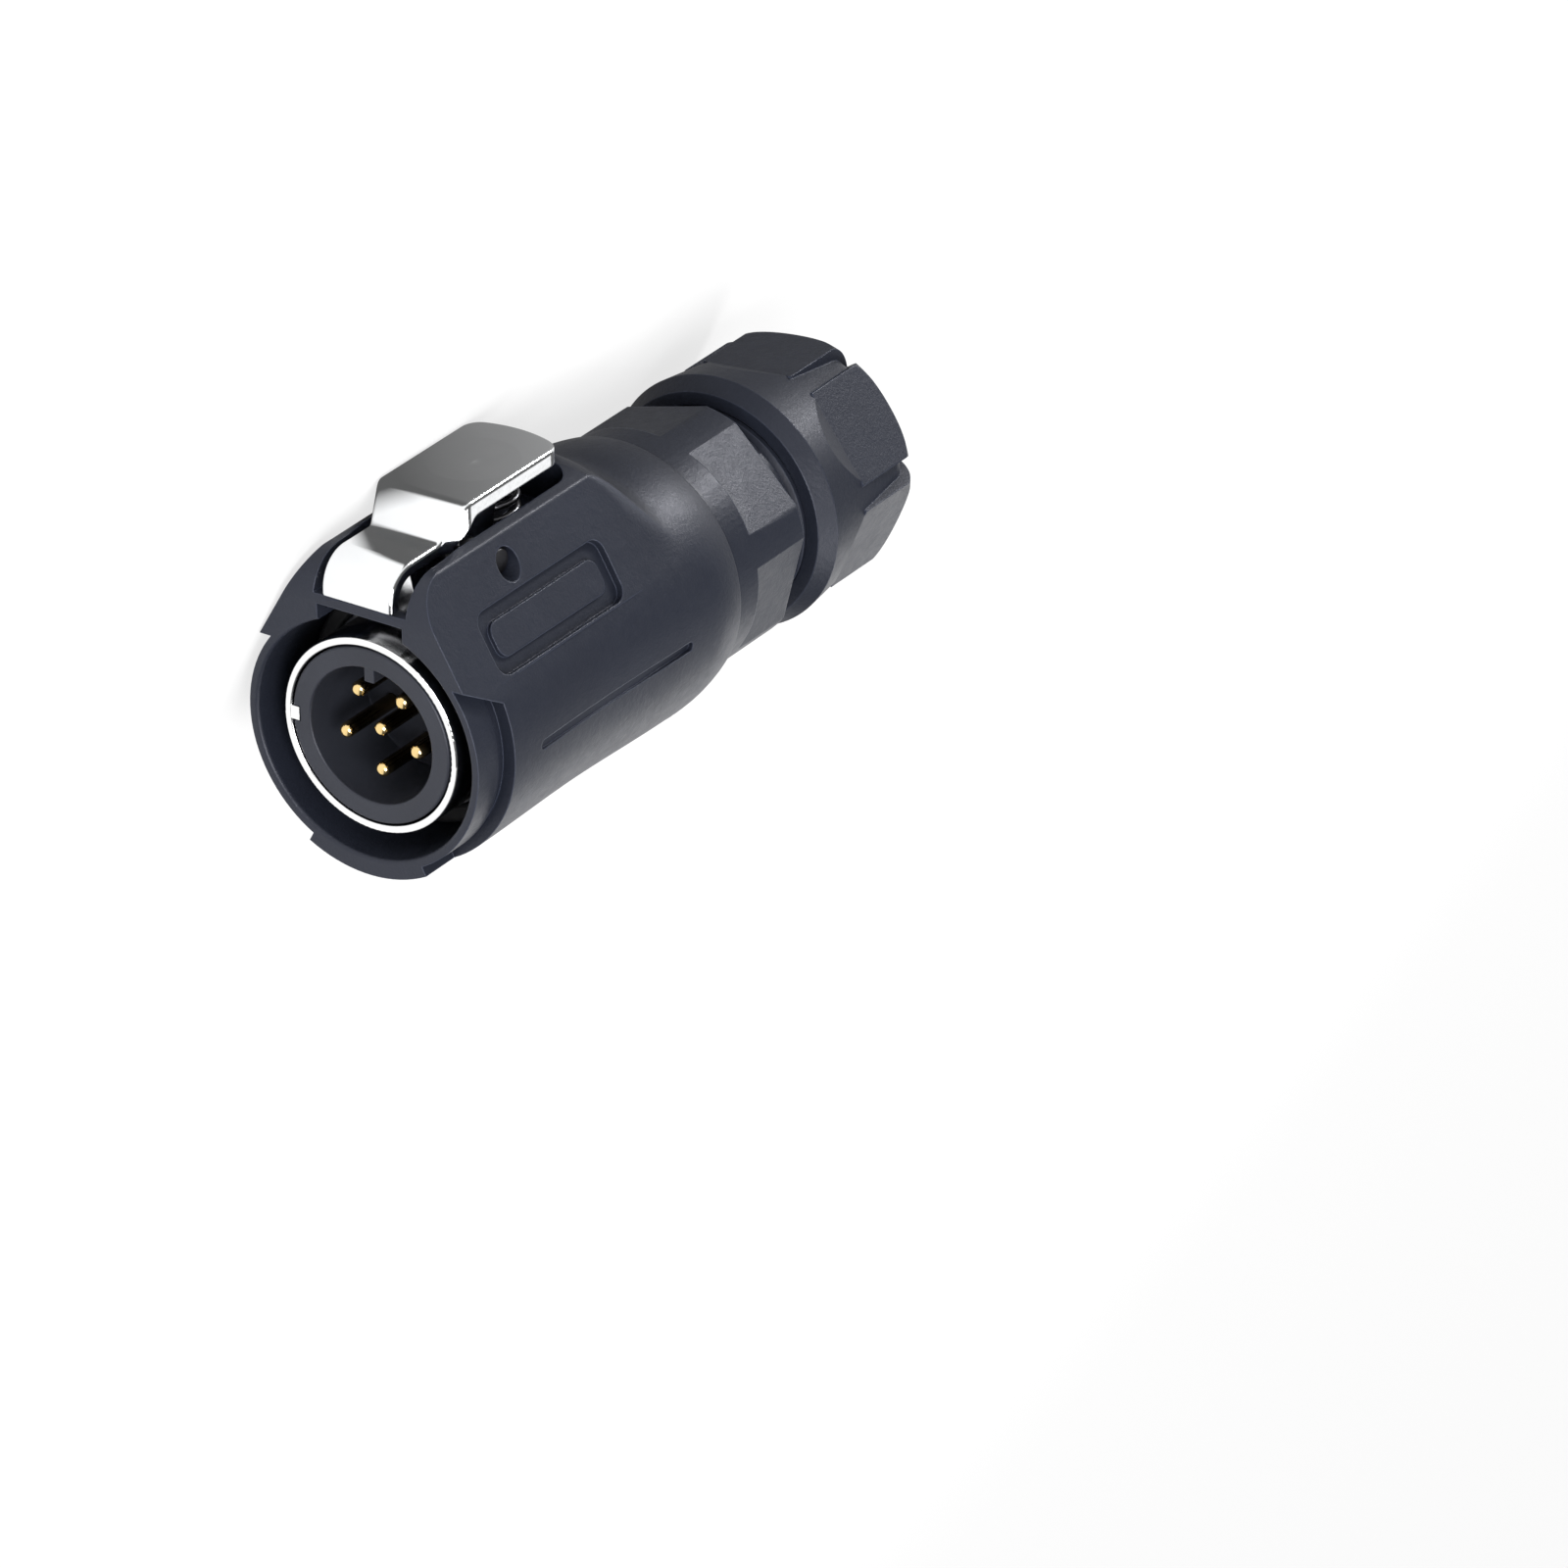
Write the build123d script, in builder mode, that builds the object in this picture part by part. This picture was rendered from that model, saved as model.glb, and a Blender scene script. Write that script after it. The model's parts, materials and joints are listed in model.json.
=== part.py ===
from build123d import *
import os
from math import acos, atan2, cos, degrees, hypot, radians, sin, tan

# Circular cable plug with a push latch, in millimetres.
# It is drawn with its axis on X, the mating mouth towards -X, the cable end towards +X and the latch up.
# X = 0 is the front edge of the metal sleeve. At the end the plug is laid on its side, as it comes to rest.

# Gaps between pieces
thread_gap = 0.05
press_gap = 0.02
seat_gap = 0.05
slip_gap = 0.1
soft_gap = 0.15
spigot_gap = 0.3

# Mating sleeve
sleeve_radius = 10.0
sleeve_bore = 9.2
sleeve_root_radius = 10.3
sleeve_root_station = 7.3
sleeve_skirt_radius = 10.8
sleeve_skirt_bore = 9.6
sleeve_skirt_length = 11.5
sleeve_key_width = 1.4
sleeve_key_height = 0.95
insert_stop = 8.0

# Shell mouth, rim and body
mouth_radius = 12.3
mouth_overhang = 1.1
mouth_lip_fillet = 0.35
cavity_depth = 10.1
lip_thickness = 1.5
rim_radius = 13.2
rim_width = 3.3
groove_radius = 12.8
groove_width = 1.2
body_radius = 14.2
waist_radius = 14.0
waist_station = 19.0
shoulder_radius = 14.35
shoulder_station = 36.0
shell_length = 42.7
shell_rear_radius = 13.55
shell_rear_fillet = 0.4
bottom_pad_half_angle = 28.5

# Hood around the latch
hood_front_end = 8.1
hood_groove_end = 5.6
panel_angle = 60.0
panel_top = 17.5
hood_crown = 18.9
hood_front_radius = 4.4
hood_front_height = 13.2
hood_top = 18.2
hood_top_station = 9.0
hood_fall_station = 25.0
hood_end_station = 35.0
hood_sink = 0.12
hood_edge_fillet = 0.5
slot_half_width = 5.3
slot_floor = 14.05
slot_rear = 26.1
slot_corner = 2.5
bar_thickness = 1.0
bar_depth = 1.4
window_half_width = 4.9
pocket_floor = 11.9
pocket_rear = 15.6
post_radius = 1.6
post_height = 1.2

# Side panels
recess_station = 14.7
recess_height = 3.5
recess_length = 20.1
recess_width = 6.5
recess_depth = 0.8
recess_corner = 1.5
plate_length = 17.0
plate_width = 3.6
plate_thickness = 0.45
plate_corner = 1.2
side_groove_angle = 92.0
side_groove_start = 7.7
side_groove_end = 32.3
side_groove_width = 1.0
side_groove_depth = 0.4

# Grip under the shell
grip_start = 23.5
grip_step = 4.1
grip_steps = 3
grip_rise = 0.3
grip_first_radius = 14.35
grip_crease_depth = 0.35
grip_crease_width = 0.4
grip_axis_drop = 1.1

# Push latch and its pivot
pivot_station = 12.0
pivot_height = 15.0
pin_radius = 1.5
pin_recess = 0.9
neck_half_width = 4.0
neck_top = 18.4
neck_thickness = 1.2
neck_end = 6.4
nose_station = -1.5
nose_radius = 3.5
nose_gap = 0.35
ramp_end = 9.4
tab_half_width = 5.2
tab_top = 21.6
tab_thickness = 1.6
tab_rear = 25.3
tab_corner = 2.2
tab_edge_fillet = 0.4
tab_side_round = 2.5
tab_bow = 1.2
dish_station = 17.4
dish_radius = 4.6
dish_depth = 0.22
ear_radius = 2.5
ear_thickness = 1.7
hook_front = 2.8
hook_length = 2.8
hook_half_width = 3.0
hook_bottom = 11.6
spring_station = 20.2
spring_radius = 2.4
spring_wire = 0.35
spring_turns = 4

# Insert and contacts
recess_radius = 7.0
insert_front_gap = 0.2
insert_length = 17.0
insert_floor = 9.0
insert_key_width = 1.05
insert_key_height = 1.4
insert_key_setback = 0.1
ring_groove_station = 12.5
ring_radius = 0.6
keeper_thickness = 3.0
contact_circle = 4.3
contact_count = 5
contact_radius = 0.75
contact_tip = 1.3
contact_collar_radius = 1.3
contact_collar_length = 1.2
contact_collar_depth = 3.0
contact_shank_radius = 1.05
cup_length = 6.5
cup_radius = 1.15
cup_bore = 0.75
cup_depth = 4.5
retainer_length = 4.0
retainer_bore = 7.9

# Rear body
rear_bore = 12.2
spigot_station = 30.0
spigot_bore = 9.5
rear_collar_radius = 12.85
hex_station = 45.5
hex_across_flats = 23.8
hex_first_angle = -15.0
rear_length = 53.4
throat_station = 46.0
throat_bore = 7.6
claw_seat_station = 52.0
gland_thread_radius = 10.7
gland_thread_end = 65.5

# Cable gland
claw_radius = 8.8
claw_bore = 7.45
claw_ring_length = 6.0
claw_length = 17.3
claw_fingers = 12
claw_slot = 0.9
claw_tip_radius = 7.9
claw_taper = 4.5
cable_radius = 4.6
grommet_recess = 1.0
washer_thickness = 0.8
washer_bore = 5.3
nut_front = 56.8
nut_bevel_length = 1.7
nut_front_radius = 12.1
nut_radius = 13.25
nut_rear_radius = 11.8
nut_round = 2.9
nut_pad_rear_radius = 12.85
nut_pad_round = 2.6
gland_travel = 0.8
nut_wall = 2.6
nut_exit_radius = 5.7
nut_exit_fillet = 0.5
nut_cone_front = 9.4
nut_facets = 6
nut_facet_first_angle = -5.5
nut_facet_half_width = 5.2
nut_facet_distance = 11.7
nut_facet_station = 64.2
nut_ramp_angle = 23.0

# Places that follow from the sizes
rim_front = -mouth_overhang
rim_end = rim_front + rim_width
body_front = rim_end + groove_width
cavity_floor = rim_front + cavity_depth
lip_back = cavity_floor + lip_thickness
shell_rear = rim_front + shell_length
sleeve_back = lip_back + sleeve_skirt_length
retainer_back = sleeve_back + retainer_length
insert_back = insert_length
keeper_back = insert_back + keeper_thickness
skirt_seat_radius = sleeve_skirt_radius + thread_gap
pivot = (pivot_station, pivot_height)
panel_normal_y = sin(radians(panel_angle))
panel_normal_z = cos(radians(panel_angle))
claw_front = claw_seat_station + seat_gap
claw_end = claw_front + claw_length
washer_station = claw_end + gland_travel
nut_end = washer_station + washer_thickness + seat_gap + nut_wall
pin_span = (body_radius - pivot_height * panel_normal_z) / panel_normal_y - pin_recess


def band(start, end, inner, outer, mode=Mode.ADD):
    """Draw the half section of a ring between two stations."""
    with Locations(((start + end) / 2, (inner + outer) / 2)):
        Rectangle(end - start, outer - inner, mode=mode)


def panel_y(height):
    """Distance of the flat side panel from the middle plane at a height."""
    return (body_radius - height * panel_normal_z) / panel_normal_y


def side_panel(side):
    """Plane of the flat side panel, with its origin where the panel touches the round body."""
    normal = (0, side * panel_normal_y, panel_normal_z)
    touch = (0, side * body_radius * panel_normal_y, body_radius * panel_normal_z)
    return Plane(origin=touch, x_dir=(-side, 0, 0), z_dir=normal)


# Body of the front shell, without its bores
hood_corner_y = panel_y(panel_top)
hood_arc_station = rim_front + hood_front_radius
hood_arc_top = hood_front_height + hood_front_radius

with BuildPart() as hood:
    with BuildSketch(Plane.YZ.offset(rim_front)) as hood_section:
        with BuildLine():
            Polyline(
                (hood_corner_y, panel_top),
                (body_radius * panel_normal_y, body_radius * panel_normal_z),
                (0, 0),
                (-body_radius * panel_normal_y, body_radius * panel_normal_z),
                (-hood_corner_y, panel_top),
            )
            ThreePointArc((-hood_corner_y, panel_top), (0, hood_crown), (hood_corner_y, panel_top))
        make_face()
        fillet(hood_section.vertices().group_by(Axis.Y)[-1], hood_edge_fillet)
    extrude(amount=hood_end_station - rim_front)
    with BuildSketch(Plane.XZ):
        with BuildLine():
            Polyline((hood_end_station, hood_top), (hood_end_station, 0), (rim_front, 0),
                     (rim_front, hood_front_height))
            RadiusArc((rim_front, hood_front_height), (hood_arc_station, hood_arc_top), hood_front_radius)
            Spline(
                (hood_arc_station, hood_arc_top),
                (hood_top_station, hood_top),
                (hood_end_station, hood_top),
                tangents=((1, 0), (1, 0)),
            )
        make_face()
    extrude(amount=hood_crown, both=True, mode=Mode.INTERSECT)
    with BuildSketch(Plane.XZ):
        with BuildLine():
            Polyline((hood_end_station, shoulder_radius - hood_sink), (hood_end_station, 0), (rim_front, 0),
                     (rim_front, hood_crown), (hood_fall_station, hood_crown))
            Spline(
                (hood_fall_station, hood_crown),
                (hood_end_station, shoulder_radius - hood_sink),
                tangents=((1, 0), (1, -hood_sink)),
            )
        make_face()
    revolve(axis=Axis.X, mode=Mode.INTERSECT)

with BuildPart() as grip_pad:
    with BuildSketch(Plane.XZ):
        with BuildLine():
            grip_points = [(grip_start, 0), (grip_start, waist_radius - grip_axis_drop)]
            for step in range(grip_steps):
                crest = grip_start + (step + 1) * grip_step
                crest_radius = grip_first_radius + step * grip_rise / 2 - grip_axis_drop
                grip_points.append((crest, crest_radius))
                grip_points.append((crest + grip_crease_width, crest_radius - grip_crease_depth))
            grip_end = grip_points[-1][0] + grip_step
            Polyline(
                *grip_points,
                (grip_points[-1][0] + grip_crease_width, grip_points[-1][1] + grip_crease_depth),
                (grip_end, shell_rear_radius - grip_axis_drop),
                (grip_end, 0),
                close=True,
            )
        make_face()
    revolve(axis=Axis.X)

# Rim and groove on both sides, from the hood's slanted lower end to the bottom pad
rim_cut_reach = body_radius + 2
with BuildPart() as rim_cut:
    with BuildSketch(Plane.XZ):
        band(rim_front - 1, body_front, rim_radius, rim_cut_reach)
        band(rim_end, body_front, groove_radius, rim_radius)
    revolve(axis=Axis.X)
    with BuildSketch(Plane.XZ):
        with BuildLine():
            Polyline(
                (rim_front - 1, -rim_cut_reach),
                (rim_front - 1, hood_front_end),
                (rim_front, hood_front_end),
                (body_front, hood_groove_end),
                (body_front, -rim_cut_reach),
                close=True,
            )
        make_face()
    extrude(amount=rim_cut_reach, both=True, mode=Mode.INTERSECT)
    with BuildSketch(Plane.YZ.offset(rim_front - 1)):
        with BuildLine():
            pad_reach_y = rim_cut_reach * tan(radians(bottom_pad_half_angle))
            Polyline((0, 0), (-pad_reach_y, -rim_cut_reach), (pad_reach_y, -rim_cut_reach), close=True)
        make_face()
    extrude(amount=body_front - rim_front + 1, mode=Mode.SUBTRACT)

with BuildPart() as front_shell:
    with BuildSketch(Plane.XZ):
        with BuildLine():
            Polyline((rim_front, 0), (rim_front, body_radius), (body_front, body_radius))
            Spline(
                (body_front, body_radius),
                (waist_station, waist_radius),
                (shoulder_station, shoulder_radius),
                tangents=((1, 0), (1, 0)),
            )
            TangentArc(
                (shoulder_station, shoulder_radius), (shell_rear, shell_rear_radius), tangent=(1, 0)
            )
            Polyline((shell_rear, shell_rear_radius), (shell_rear, 0), (rim_front, 0))
        make_face()
    revolve(axis=Axis.X)
    fillet(front_shell.edges().group_by(Axis.X)[-1], shell_rear_fillet)
    add(hood.part)
    with Locations((0, 0, -grip_axis_drop)):
        add(grip_pad.part)

    add(rim_cut.part, mode=Mode.SUBTRACT)

    # Mating cavity, sleeve seat and rear bore
    with BuildSketch(Plane.XZ):
        band(rim_front, cavity_floor, 0, mouth_radius)
        band(cavity_floor, lip_back, 0, sleeve_root_radius + thread_gap)
        band(lip_back, spigot_station, 0, skirt_seat_radius)
        band(spigot_station, shell_rear, 0, rear_bore)
    revolve(axis=Axis.X, mode=Mode.SUBTRACT)

    lip_edges = front_shell.edges().group_by(Axis.X)[0].filter_by(GeomType.CIRCLE)
    fillet(lip_edges.group_by(SortBy.RADIUS)[0], mouth_lip_fillet)

    # Window into the cavity, slot for the latch, and the pocket around its pivot
    with BuildSketch(Plane.YZ.offset(rim_front)):
        with Locations((0, (sleeve_radius + slot_floor - bar_thickness) / 2)):
            Rectangle(2 * window_half_width, slot_floor - bar_thickness - sleeve_radius)
    extrude(amount=cavity_depth, mode=Mode.SUBTRACT)
    with BuildSketch(Plane.XY.offset(slot_floor)) as slot_plan:
        slot_front = rim_front - 1
        with Locations(((slot_front + slot_rear) / 2, 0)):
            Rectangle(slot_rear - slot_front, 2 * slot_half_width)
        fillet(slot_plan.vertices().group_by(Axis.X)[-1], slot_corner)
    extrude(amount=hood_crown - slot_floor, mode=Mode.SUBTRACT)
    with BuildSketch(Plane.XY.offset(pocket_floor)):
        pocket_front = rim_front + bar_depth
        with Locations(((pocket_front + pocket_rear) / 2, 0)):
            Rectangle(pocket_rear - pocket_front, 2 * slot_half_width)
    extrude(amount=hood_crown - pocket_floor, mode=Mode.SUBTRACT)
    with BuildSketch(Plane.XZ):
        with Locations(pivot):
            Circle(pin_radius + press_gap)
    extrude(amount=body_radius, both=True, mode=Mode.SUBTRACT)
    with BuildSketch(Plane.XY.offset(slot_floor)):
        with Locations((spring_station, 0)):
            Circle(post_radius)
    extrude(amount=post_height)

    # Recess with a bare raised plate, and the thin groove, on both sides
    for side in (-1, 1):
        panel = side_panel(side)
        with BuildSketch(panel.offset(-recess_depth)):
            with Locations((-side * recess_station, recess_height)):
                RectangleRounded(recess_length, recess_width, recess_corner)
                RectangleRounded(plate_length, plate_width, plate_corner, mode=Mode.SUBTRACT)
        extrude(amount=body_radius, mode=Mode.SUBTRACT)
        with BuildSketch(panel.offset(plate_thickness - recess_depth)):
            with Locations((-side * recess_station, recess_height)):
                RectangleRounded(plate_length, plate_width, plate_corner)
        extrude(amount=body_radius, mode=Mode.SUBTRACT)
        groove_angle = radians(side_groove_angle)
        groove_normal = (0, side * sin(groove_angle), cos(groove_angle))
        groove_base = body_radius - side_groove_depth
        groove_plane = Plane(
            origin=tuple(groove_base * part for part in groove_normal), x_dir=(1, 0, 0), z_dir=groove_normal
        )
        with BuildSketch(groove_plane):
            with Locations(((side_groove_start + side_groove_end) / 2, 0)):
                SlotOverall(side_groove_end - side_groove_start, side_groove_width)
        extrude(amount=body_radius, mode=Mode.SUBTRACT)

# Push latch
tab_bottom = tab_top - tab_thickness
neck_bottom = neck_top - neck_thickness
nose_bottom = slot_floor + nose_gap
nose_inner_radius = nose_radius - neck_thickness
dish_sphere = (dish_radius ** 2 + dish_depth ** 2) / (2 * dish_depth)
nose_centre = (nose_station + nose_radius, neck_top - nose_radius)

with BuildPart() as push_latch:
    with BuildSketch(Plane.XZ) as latch_side:
        with BuildLine():
            Line((nose_station, nose_bottom), (nose_station, nose_centre[1]))
            RadiusArc((nose_station, nose_centre[1]), (nose_centre[0], neck_top), nose_radius)
            Polyline(
                (nose_centre[0], neck_top),
                (neck_end, neck_top),
                (ramp_end, tab_top),
                (tab_rear, tab_top),
                (tab_rear, tab_bottom),
                (ramp_end + neck_thickness, tab_bottom),
                (neck_end + neck_thickness, neck_bottom),
                (nose_centre[0], neck_bottom),
            )
            RadiusArc(
                (nose_centre[0], neck_bottom),
                (nose_station + neck_thickness, nose_centre[1]),
                -nose_inner_radius,
            )
            Polyline(
                (nose_station + neck_thickness, nose_centre[1]),
                (nose_station + neck_thickness, nose_bottom),
                (nose_station, nose_bottom),
            )
        make_face()
        bends = latch_side.vertices().filter_by(lambda corner: neck_end - 1 < corner.X < ramp_end + 2)
        fillet(bends, neck_thickness)
    extrude(amount=tab_half_width, both=True)
    with BuildSketch(Plane.XY) as latch_plan:
        with BuildLine():
            Polyline(
                (tab_rear - tab_bow, -tab_half_width),
                (ramp_end, -tab_half_width),
                (neck_end, -neck_half_width),
                (nose_station, -neck_half_width),
                (nose_station, neck_half_width),
                (neck_end, neck_half_width),
                (ramp_end, tab_half_width),
                (tab_rear - tab_bow, tab_half_width),
            )
            ThreePointArc(
                (tab_rear - tab_bow, tab_half_width), (tab_rear, 0), (tab_rear - tab_bow, -tab_half_width)
            )
        make_face()
        fillet(latch_plan.vertices().group_by(Axis.X)[-1], tab_corner)
        for bend_station in (neck_end, ramp_end):
            bends = latch_plan.vertices().filter_by(lambda corner: abs(corner.X - bend_station) < seat_gap)
            fillet(bends, tab_side_round)
    extrude(amount=tab_top, mode=Mode.INTERSECT)
    fillet(push_latch.faces().sort_by(Axis.Z)[-1].edges(), tab_edge_fillet)
    with Locations((dish_station, 0, tab_top - dish_depth + dish_sphere)):
        Sphere(dish_sphere, mode=Mode.SUBTRACT)

    # Ears around the pivot, and the hook that catches the socket
    for side in (-1, 1):
        with BuildSketch(Plane.XZ.offset(side * (neck_half_width - ear_thickness / 2))):
            with BuildLine():
                Polyline(
                    (pivot_station - ear_radius, pivot_height),
                    (ramp_end, tab_bottom),
                    (pivot_station + ear_radius + 1, tab_bottom),
                    (pivot_station + ear_radius, pivot_height),
                    close=True,
                )
            make_face()
            with Locations(pivot):
                Circle(ear_radius)
        extrude(amount=ear_thickness / 2, both=True)
    with BuildSketch(Plane.XZ):
        with BuildLine():
            Polyline(
                (hook_front, neck_bottom),
                (hook_front + hook_length / 2, hook_bottom),
                (hook_front + hook_length, hook_bottom),
                (hook_front + hook_length, neck_bottom),
                close=True,
            )
        make_face()
    extrude(amount=hook_half_width, both=True)
    with BuildSketch(Plane.XZ):
        with Locations(pivot):
            Circle(pin_radius + thread_gap)
    extrude(amount=slot_half_width, both=True, mode=Mode.SUBTRACT)

with BuildPart() as latch_pin:
    with BuildSketch(Plane.XZ):
        with Locations(pivot):
            Circle(pin_radius)
    extrude(amount=pin_span, both=True)
    chamfer(latch_pin.edges().filter_by(GeomType.CIRCLE), pin_radius / 5)

spring_height = tab_bottom - slot_floor - 2 * seat_gap
spring_base = slot_floor + seat_gap + spring_wire
with BuildPart() as latch_spring:
    with BuildLine(Plane((spring_station, 0, spring_base))) as coil:
        coil_rise = spring_height - 2 * spring_wire
        Helix(pitch=coil_rise / spring_turns, height=coil_rise, radius=spring_radius)
    with BuildSketch(Plane(origin=coil.line @ 0, z_dir=coil.line % 0)):
        Circle(spring_wire)
    sweep(path=coil.line)

# Metal sleeve with the insert and the contacts
with BuildPart() as coupling_sleeve:
    with BuildSketch(Plane.XZ):
        band(0, sleeve_root_station, sleeve_bore, sleeve_radius)
        band(sleeve_root_station, lip_back + seat_gap, sleeve_bore, sleeve_root_radius)
        band(lip_back + seat_gap, sleeve_back, sleeve_bore, sleeve_skirt_radius)
        band(insert_stop, sleeve_back, sleeve_bore, sleeve_skirt_bore, mode=Mode.SUBTRACT)
    revolve(axis=Axis.X)
    fillet(coupling_sleeve.edges().group_by(Axis.X)[0], (sleeve_radius - sleeve_bore) / 4)
    with BuildSketch(Plane.YZ):
        with Locations((sleeve_bore - sleeve_key_height / 2 + seat_gap, 0)):
            Rectangle(sleeve_key_height + seat_gap, sleeve_key_width)
    extrude(amount=insert_stop)

insert_radius = sleeve_bore - insert_front_gap
insert_skirt_radius = sleeve_skirt_bore - seat_gap
contact_places = [(0, 0)] + [
    (contact_circle * cos(radians(360 * index / contact_count - 90)),
     contact_circle * sin(radians(360 * index / contact_count - 90)))
    for index in range(contact_count)
]
collar_front = insert_back - contact_collar_depth

with BuildPart() as pin_insert:
    with BuildSketch(Plane.XZ):
        band(0, insert_floor, recess_radius, insert_radius)
        band(insert_floor, insert_back, 0, insert_radius)
        band(insert_stop + seat_gap, insert_back, recess_radius, insert_skirt_radius)
        band(ring_groove_station, ring_groove_station + 3 * ring_radius,
             insert_skirt_radius - 2 * ring_radius, insert_skirt_radius, mode=Mode.SUBTRACT)
    revolve(axis=Axis.X)
    fillet(pin_insert.edges().group_by(Axis.X)[0], insert_front_gap)
    with BuildSketch(Plane.YZ.offset(insert_key_setback)):
        with Locations((0, recess_radius - insert_key_height / 2 + seat_gap)):
            Rectangle(insert_key_width, insert_key_height + 2 * seat_gap)
    extrude(amount=insert_floor - insert_key_setback)
    with BuildSketch(Plane.YZ):
        with Locations((sleeve_bore - sleeve_key_height / 2, 0)):
            Rectangle(sleeve_key_height + 2 * slip_gap, sleeve_key_width + 2 * slip_gap)
    extrude(amount=insert_stop + slip_gap, mode=Mode.SUBTRACT)
    with BuildSketch(Plane.YZ):
        with Locations(*contact_places):
            Circle(contact_radius + press_gap)
    extrude(amount=insert_back, mode=Mode.SUBTRACT)
    with BuildSketch(Plane.YZ.offset(collar_front)):
        with Locations(*contact_places):
            Circle(contact_collar_radius + press_gap)
    extrude(amount=contact_collar_depth, mode=Mode.SUBTRACT)

with BuildPart() as insert_ring:
    with BuildSketch(Plane.XZ):
        with Locations((ring_groove_station + 1.5 * ring_radius, insert_skirt_radius - ring_radius)):
            Circle(ring_radius - press_gap)
    revolve(axis=Axis.X)

with BuildPart() as contact_keeper:
    with BuildSketch(Plane.YZ.offset(insert_back + seat_gap)):
        Circle(insert_skirt_radius)
        with Locations(*contact_places):
            Circle(contact_shank_radius + press_gap, mode=Mode.SUBTRACT)
    extrude(amount=keeper_thickness - seat_gap)


def build_contact(place):
    """One turned contact: rounded pin, collar, shank and solder cup."""
    cup_back = keeper_back + cup_length
    with BuildPart() as contact:
        with BuildSketch(Plane.XZ):
            band(contact_tip, collar_front, 0, contact_radius)
            band(collar_front + press_gap, collar_front + contact_collar_length, 0, contact_collar_radius)
            band(collar_front, keeper_back + seat_gap, 0, contact_shank_radius)
            band(keeper_back + seat_gap, cup_back, 0, cup_radius)
            band(cup_back - cup_depth, cup_back, 0, cup_bore, mode=Mode.SUBTRACT)
        revolve(axis=Axis.X)
        fillet(contact.edges().group_by(Axis.X)[0], contact_radius * 0.8)
        with BuildSketch(Plane.XZ):
            with Locations((cup_back, cup_radius)):
                Rectangle(cup_depth, 2 * cup_radius)
        extrude(amount=cup_radius, both=True, mode=Mode.SUBTRACT)
    return contact.part.moved(Location((0, *place)))


with BuildPart() as insert_retainer:
    with BuildSketch(Plane.XZ):
        band(sleeve_back + seat_gap, retainer_back, retainer_bore, sleeve_skirt_radius)
        band(keeper_back + seat_gap, sleeve_back + seat_gap, retainer_bore, insert_skirt_radius)
    revolve(axis=Axis.X)
    with BuildSketch(Plane.YZ.offset(retainer_back)):
        Rectangle(3 * sleeve_skirt_radius, 2 * cup_radius)
    extrude(amount=-retainer_length / 2, mode=Mode.SUBTRACT)

with BuildPart() as mating_seal:
    with BuildSketch(Plane.XZ) as seal_section:
        band(cavity_floor - lip_thickness, cavity_floor - seat_gap, sleeve_root_radius + slip_gap,
             mouth_radius - slip_gap)
        fillet(seal_section.vertices().group_by(Axis.X)[0], lip_thickness / 3)
    revolve(axis=Axis.X)

# Rear body, screwed into the shell, with its seal
spigot_radius = rear_bore - thread_gap
spigot_front = spigot_station + spigot_gap
seal_radius = ring_radius
seal_station = shell_rear - 4 * seal_radius
gland_spigot_radius = gland_thread_radius - thread_gap

with BuildPart() as rear_body:
    with BuildSketch(Plane.XZ):
        band(spigot_front, shell_rear + seat_gap, spigot_bore, spigot_radius)
        band(shell_rear + seat_gap, rear_length, spigot_bore, rear_collar_radius)
        band(throat_station, rear_length, throat_bore, rear_collar_radius)
        band(rear_length, gland_thread_end, throat_bore, gland_spigot_radius)
        band(claw_seat_station, gland_thread_end, throat_bore, claw_radius + slip_gap, mode=Mode.SUBTRACT)
        band(seal_station - 1.5 * seal_radius, seal_station + 1.5 * seal_radius,
             spigot_radius - 2 * seal_radius, spigot_radius, mode=Mode.SUBTRACT)
    revolve(axis=Axis.X)
    with BuildSketch(Plane.YZ.offset(hex_station)):
        Circle(rear_collar_radius + 1)
        RegularPolygon(hex_across_flats / 2, 6, major_radius=False, rotation=90 - hex_first_angle,
                       mode=Mode.SUBTRACT)
    extrude(amount=rear_length - hex_station, mode=Mode.SUBTRACT)

with BuildPart() as shell_seal:
    with BuildSketch(Plane.XZ):
        with Locations((seal_station, spigot_radius - seal_radius)):
            Circle(seal_radius - press_gap)
    revolve(axis=Axis.X)

# Cable gland: claw, grommet, washer and nut
with BuildPart() as clamp_claw:
    with BuildSketch(Plane.XZ):
        with BuildLine():
            Polyline(
                (claw_front, claw_bore),
                (claw_front, claw_radius),
                (claw_end - claw_taper, claw_radius),
                (claw_end, claw_tip_radius),
                (claw_end, claw_bore),
                close=True,
            )
        make_face()
    revolve(axis=Axis.X)
    with BuildSketch(Plane.YZ.offset(claw_front + claw_ring_length)):
        for index in range(claw_fingers // 2):
            Rectangle(3 * claw_radius, claw_slot, rotation=360 * index / claw_fingers)
    extrude(amount=claw_length, mode=Mode.SUBTRACT)

with BuildPart() as cable_grommet:
    with BuildSketch(Plane.XZ):
        band(claw_front + soft_gap, claw_end - grommet_recess, cable_radius, claw_bore - soft_gap)
    revolve(axis=Axis.X)
    fillet(cable_grommet.edges().filter_by(GeomType.CIRCLE), soft_gap * 2)

with BuildPart() as slip_washer:
    with BuildSketch(Plane.XZ):
        band(washer_station, washer_station + washer_thickness, washer_bore, claw_tip_radius)
    revolve(axis=Axis.X)

cone_end = washer_station - seat_gap


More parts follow.
